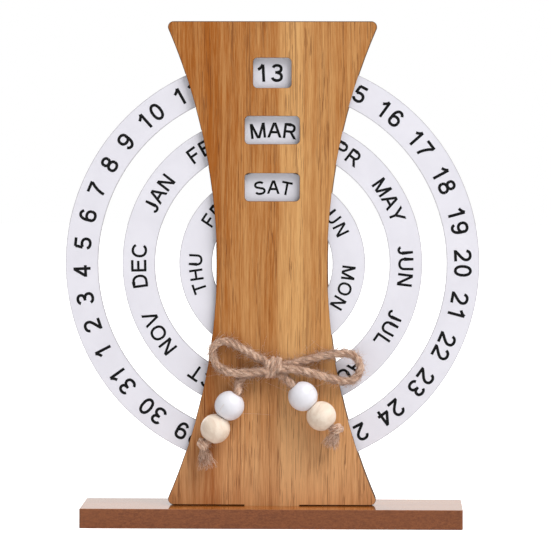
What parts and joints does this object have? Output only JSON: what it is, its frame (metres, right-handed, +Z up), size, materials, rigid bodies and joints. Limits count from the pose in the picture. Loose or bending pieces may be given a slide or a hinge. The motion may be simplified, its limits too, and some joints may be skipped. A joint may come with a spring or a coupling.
{
  "type": "perpetual desk calendar",
  "caption": "Hourglass wooden stand with date, month and weekday rings that turn behind its windows, on a flat base, with a beaded twine bow.",
  "frame": {"origin": "middle of the base's underside", "axes": "+Z up, +Y to the back, +X to the viewer's right"},
  "size_m": [0.21, 0.05, 0.2558],
  "materials": {
    "base_board": "fibre board, its top face glossy clear varnish over veneer",
    "front_panel": "clear satin over straight-grained veneer, edges burnt dark by the cut",
    "back_panel": "clear satin over straight-grained veneer, edges burnt dark by the cut",
    "spacer": "board, cut edges burnt dark",
    "ring": "smooth off-white board, satin, with printed black characters",
    "ring_print": "black print",
    "twine": "plied jute twine, hairy",
    "white_bead": "white paint on turned wood, satin",
    "plain_bead": "bare turned wood, smooth",
    "glue": "clear hot glue"
  },
  "bodies": {
    "base": {"base_board": "base_board"},
    "upright": {"front_panel": "front_panel", "back_panel": "back_panel", "head_spacer": "spacer", "foot_spacer": "spacer", "hub_spacer": "spacer", "outer_upper_arc_spacer": "spacer", "outer_lower_arc_spacer": "spacer", "inner_upper_arc_spacer": "spacer", "inner_lower_arc_spacer": "spacer", "bow_knot": "twine", "bow_glue_dab": "glue", "bow_loop_left": "twine", "bow_loop_right": "twine", "twine_tail_left": "twine", "twine_tail_right": "twine", "white_bead_left": "white_bead", "plain_bead_left": "plain_bead", "white_bead_right": "white_bead", "plain_bead_right": "plain_bead", "end_knot_left": "twine", "end_knot_right": "twine"},
    "dates": {"date_ring": "ring"},
    "months": {"month_ring": "ring"},
    "weekdays": {"weekday_ring": "ring"}
  },
  "joints": [
    {"name": "upright_lift", "type": "slide", "parent": "base", "child": "upright", "axis": [0, 0, 1], "range_m": [0, 0.012]},
    {"name": "date_ring_turn", "type": "hinge", "parent": "upright", "child": "dates", "pos_m": [0, -0.004, 0.133], "axis": [0, -1, 0], "continuous": true},
    {"name": "month_ring_turn", "type": "hinge", "parent": "upright", "child": "months", "pos_m": [0, -0.004, 0.133], "axis": [0, -1, 0], "continuous": true},
    {"name": "weekday_ring_turn", "type": "hinge", "parent": "upright", "child": "weekdays", "pos_m": [0, -0.004, 0.133], "axis": [0, -1, 0], "continuous": true}
  ]
}
